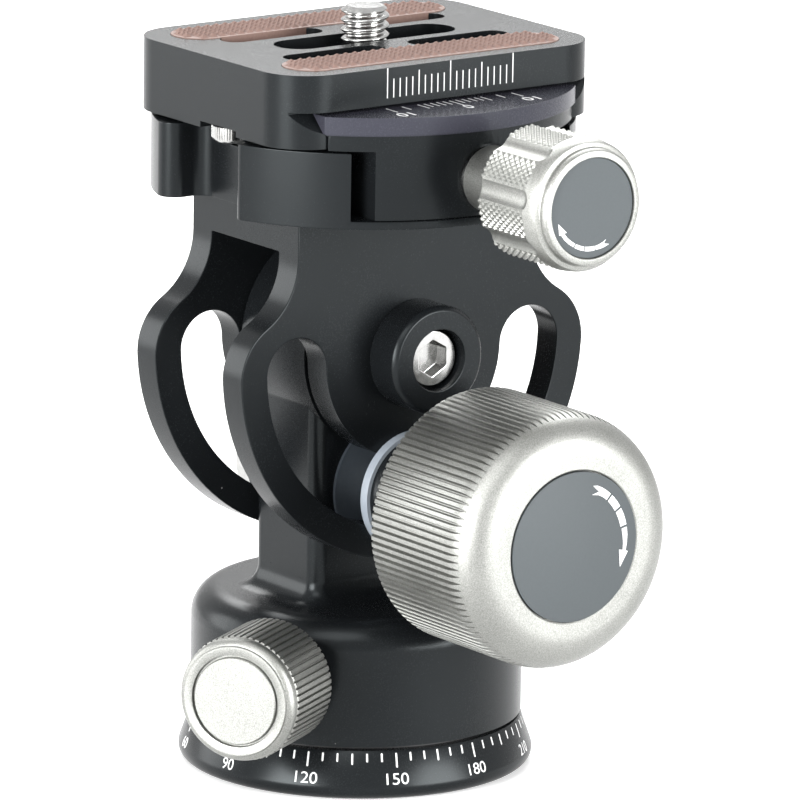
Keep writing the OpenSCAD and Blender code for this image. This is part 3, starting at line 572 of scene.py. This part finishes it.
def makePads(p):
    w, l = p["halfWidth"], p["halfLength"]
    outline = arc(0, l - w, w, 0, 180, 24) + arc(0, w - l, w, 180, 360, 24)
    pad = slab("padBody", [(x * 0.995, y * 0.998) for x, y in outline], p["low"], p["floor"])
    tall = p["top"] - p["floor"] + p["sunk"]
    clearPick()
    half = math.sqrt(0.5) * mm    # one mm across its sides
    bpy.ops.mesh.primitive_cone_add(vertices=4, radius1=half, radius2=0.1 * mm, depth=tall * mm)
    stud = bpy.context.object
    lift = Matrix.Translation((0, 0, (p["top"] - tall / 2) * mm))
    spread = Matrix.Diagonal((p["across"], p["along"], 1, 1))
    settle(stud, lift @ spread @ Matrix.Rotation(math.radians(45), 4, "Z"))
    seats = []
    across, along = int(w / p["across"]) + 1, int(l / p["along"]) + 1
    for i in range(-across, across + 1):
        for j in range(-along, along + 1):
            x, y = i * p["across"], j * p["along"]
            over = max(0, abs(y) + p["along"] / 2 - (l - w))
            if math.hypot(abs(x) + p["across"] / 2, over) <= w:
                seats.append(Matrix.Translation((x * mm, y * mm, 0)))
    pad = joined("padOne", [pad, copied("studs", stud, seats)])
    pad = copied("rubberPads", pad, [Matrix.Translation((side * p["x"] * mm, 0, 0)) for side in (-1, 1)])
    shown(pad, "plate", "pad_rubber", "plate_pads", smooth=15)


makePads(pads)
print("pads made")


# Stop screws under the plate's ends

stopScrew = {"at": (2.6, -23.0), "r": 2.48, "low": 85.97, "high": 88.1, "round": 0.95,
             "teeth": 44, "depth": 0.17, "key": 1.39, "keyDepth": 1.1}


def makeStopScrews(k):
    r, low, high, edge = k["r"], k["low"], k["high"], k["round"]
    step = 360 / k["teeth"]
    rim = []
    for i in range(k["teeth"]):
        turns = (i - 0.22) * step, (i + 0.22) * step, (i + 0.5) * step
        rim += polar([(r, turns[0]), (r, turns[1]), (r - k["depth"], turns[2])])
    head = slab("stopScrews", rim, low, high)
    profile = [(0, low), (r - edge, low), *arc(r - edge, low + edge, edge, -75, 0, 8),
               (r, high + 0.5), (0, high + 0.5), (0, low)]
    carve(head, turned("dome", profile, 96), way="INTERSECT")
    carve(head, slab("key", arc(0, 0, k["key"], 0, 300, 5), low - 1, low + k["keyDepth"]))
    x, y = k["at"]
    heads = copied("stopScrews", head, [Matrix.Translation(Vector((s * x, s * y, 0)) * mm) for s in (1, -1)])
    shown(heads, "plate", "steel", "stop_screws", smooth=25)


makeStopScrews(stopScrew)
print("stop screws made")


# Plate and jaw scales

scale = {"width": 0.14, "sunk": 0.04, "proud": 0.02, "plateSide": 19.0, "plateLow": 93.05,
         "plateTick": 2.45, "plateLong": {0: 3.9, 5: 3.2, 10: 3.9},
         "jawTop": 91.7, "jawStart": 19.15, "jawTick": 21.2,
         "jawLong": {0: 22.35, 5: 21.7, 7.5: 21.15, 10: 21.7}, "jawShift": -0.25,
         "numberAt": 23.4, "numberTall": 1.95, "digitWide": 1.12}


def bars(name, marks, place, body):    # each mark is (position along, from, to), on a flat face
    half = scale["width"] / 2
    pieces = []
    for at, low, high in marks:
        outline = [(at - half, low), (at + half, low), (at + half, high), (at - half, high)]
        pieces.append(slab(name, outline, -scale["sunk"], scale["proud"]))
    return shown(settle(joined(name, pieces), place), body, "white_print")


def makePlateScale(k):    # own X runs along +Y, own Y up, own Z out of the +X face
    face = Matrix(((0, 0, 1, k["plateSide"] * mm), (1, 0, 0, 0), (0, 1, 0, 0), (0, 0, 0, 1)))
    low = k["plateLow"]
    marks = [(n, low, low + k["plateLong"].get(abs(n), k["plateTick"])) for n in range(-10, 11)]
    bars("plateScale", marks, face, "plate")


def makeJawScale(k):    # own X runs along +Y, own Y along -X, own Z up
    top = Matrix(((0, -1, 0, 0), (1, 0, 0, 0), (0, 0, 1, k["jawTop"] * mm), (0, 0, 0, 1)))
    marks = []
    for n in [*range(-5, 6), -10, -7.5, 7.5, 10]:
        marks.append((n + k["jawShift"], -k["jawLong"].get(abs(n), k["jawTick"]), -k["jawStart"]))
    bars("jawScale", marks, top, "jaw")
    numbers = []
    for n, word in ((-10, "10"), (0, "0"), (10, "10")):    # read from the plate's side
        text = number(word, k["digitWide"] * len(word), k["numberTall"])
        along, high = (n + k["jawShift"] - 0.05) * mm, (k["jawTop"] - 0.01) * mm
        place = Matrix(((0, 1, 0, k["numberAt"] * mm), (-1, 0, 0, along), (0, 0, 1, high), (0, 0, 0, 1)))
        numbers.append(settle(text, place))
    shown(joined("jawNumbers", numbers), "jaw", "white_print")


makePlateScale(scale)
makeJawScale(scale)
print("scales made")


# Camera screw with its thread

cameraScrew = {"head": 7.0, "headLow": 88.0, "headHigh": 91.2, "neck": 2.875, "foot": 96.5, "top": 101.2,
               "r": 3.175, "pitch": 1.27, "depth": 0.62, "slot": 0.9, "slotDepth": 1.4, "key": 2.9,
               "keyDepth": 2.6}


def makeCameraScrew(k):
    rounds, rows = 72, 70
    points, faces = [], []
    span = k["top"] - k["foot"]
    for row in range(rows + 1):
        z = k["foot"] + span * row / rows
        for i in range(rounds):
            turn = 2 * math.pi * i / rounds
            phase = ((z - k["foot"]) / k["pitch"] - i / rounds) % 1
            r = k["r"] - k["depth"] * (0.5 + 0.5 * math.cos(2 * math.pi * phase))
            r = min(r, k["r"] - 0.75 + (k["top"] - z) * 1.15, k["neck"] - 0.1 + (z - k["foot"]) * 1.2)
            points.append((r * math.cos(turn) * mm, r * math.sin(turn) * mm, z * mm))
    for row in range(rows):
        for i in range(rounds):
            j = (i + 1) % rounds
            faces.append((row * rounds + i, row * rounds + j, (row + 1) * rounds + j, (row + 1) * rounds + i))
    faces.append(tuple(reversed(range(rounds))))
    faces.append(tuple(rows * rounds + i for i in range(rounds)))
    mesh = bpy.data.meshes.new("thread")
    mesh.from_pydata(points, [], faces)
    thread = bpy.data.objects.new("thread", mesh)
    bpy.context.scene.collection.objects.link(thread)
    low, high, head, neck, foot = (k[part] for part in ("headLow", "headHigh", "head", "neck", "foot"))
    profile = [(0, low), (head - 0.3, low), (head, low + 0.3), (head, high - 0.2), (head - 0.2, high),
               (neck, high), (neck, foot + 0.1), (0, foot + 0.1)]
    shank = turned("shank", profile, 96)
    wide, slot = head + 2, k["slot"]
    outline = [(-wide, -slot), (wide, -slot), (wide, slot), (-wide, slot)]
    blade = slab("blade", outline, low - 1, low + k["slotDepth"])
    key = slab("key", arc(0, 0, k["key"], 0, 300, 5), low - 1, low + k["keyDepth"])
    carve(shank, blade, key)
    shown(joined("cameraScrew", [shank, thread]), "camera_screw", "steel", "camera_screw", smooth=30)


makeCameraScrew(cameraScrew)
print("camera screw made")


# Stage, lamps and camera

def makeStage():
    clearPick()
    bpy.ops.mesh.primitive_circle_add(vertices=64, radius=3.0, fill_type="NGON", location=(0, 0, -0.00005))
    floor = bpy.context.object
    floor.name = "floor"
    pale = Finish("paleFloor", Base_Color=(0.86, 0.86, 0.86, 1), Roughness=0.9,
                  Specular_IOR_Level=0.1, Emission_Color=(1, 1, 1, 1))
    rays = pale.tree.nodes.new("ShaderNodeLightPath").outputs
    seen = Wire(pale, rays["Is Camera Ray"]) + Wire(pale, rays["Is Glossy Ray"])
    seen = seen + Wire(pale, rays["Is Transmission Ray"])
    pale.feed("Emission Strength", seen * 0.42)
    floor.data.materials.append(pale.material)

    world = bpy.data.worlds.new("whiteRoom")
    bpy.context.scene.world = world
    world.use_nodes = True
    tree = world.node_tree
    rays = tree.nodes.new("ShaderNodeLightPath").outputs
    plain, white = tree.nodes["Background"], tree.nodes.new("ShaderNodeBackground")
    mix = tree.nodes.new("ShaderNodeMixShader")
    plain.inputs["Color"].default_value = (1, 1, 1, 1)
    plain.inputs["Strength"].default_value = 0.13
    white.inputs["Color"].default_value = (1, 1, 1, 1)
    white.inputs["Strength"].default_value = 1.0
    seen = rays["Is Camera Ray"]
    for kind in ("Is Glossy Ray", "Is Transmission Ray"):
        either = tree.nodes.new("ShaderNodeMath")
        either.operation = "MAXIMUM"
        tree.links.new(seen, either.inputs[0])
        tree.links.new(rays[kind], either.inputs[1])
        seen = either.outputs[0]
    tree.links.new(seen, mix.inputs[0])
    tree.links.new(plain.outputs[0], mix.inputs[1])
    tree.links.new(white.outputs[0], mix.inputs[2])
    tree.links.new(mix.outputs[0], tree.nodes["World Output"].inputs["Surface"])


lamps = {
    "key": {"at": (0.35, -0.45, 0.70), "size": 0.5, "power": 2.4},
    "over": {"at": (-0.42, 0.28, 0.60), "size": 0.7, "power": 8.0},
    "front": {"at": (0.20, -0.85, 0.17), "size": 0.5, "power": 12.5},
    "side": {"at": (0.84, 0.30, 0.16), "size": 0.6, "power": 14.0},
    "left": {"at": (-0.62, -0.50, 0.22), "size": 0.5, "power": 3.2},
}


def makeLamps():
    for name, lamp in lamps.items():
        light = bpy.data.lights.new(name, "AREA")
        light.shape, light.size, light.energy = "DISK", lamp["size"], lamp["power"]
        holder = bpy.data.objects.new(name, light)
        bpy.context.scene.collection.objects.link(holder)
        holder.location = lamp["at"]
        holder.rotation_euler = (Vector(lamp["at"]) - Vector((0, 0, 0.05))).to_track_quat("Z", "Y").to_euler()


view = {"azimuth": 53.93, "elevation": 13.198, "roll": 0.867,
        "at": (0.928669, -0.669876, 0.316869), "lens": 401.88}


def makeCamera(v):
    a, e, r = (math.radians(v[name]) for name in ("azimuth", "elevation", "roll"))
    right = Vector((math.cos(a), math.sin(a), 0))
    back = Vector((math.sin(a) * math.cos(e), -math.cos(a) * math.cos(e), math.sin(e)))
    up = back.cross(right)
    across = math.cos(r) * right + math.sin(r) * up
    upright = -math.sin(r) * right + math.cos(r) * up
    camera = bpy.data.objects.new("camera", bpy.data.cameras.new("camera"))
    bpy.context.scene.collection.objects.link(camera)
    turn = Matrix((across, upright, back)).transposed().to_4x4()
    camera.matrix_world = Matrix.Translation(v["at"]) @ turn
    camera.data.lens, camera.data.sensor_width, camera.data.clip_end = v["lens"], 36, 20
    bpy.context.scene.camera = camera


makeStage()
makeLamps()
makeCamera(view)
bpy.context.scene.view_settings.view_transform = "Standard"
bpy.context.view_layer.update()
print("stage, lamps and camera set")
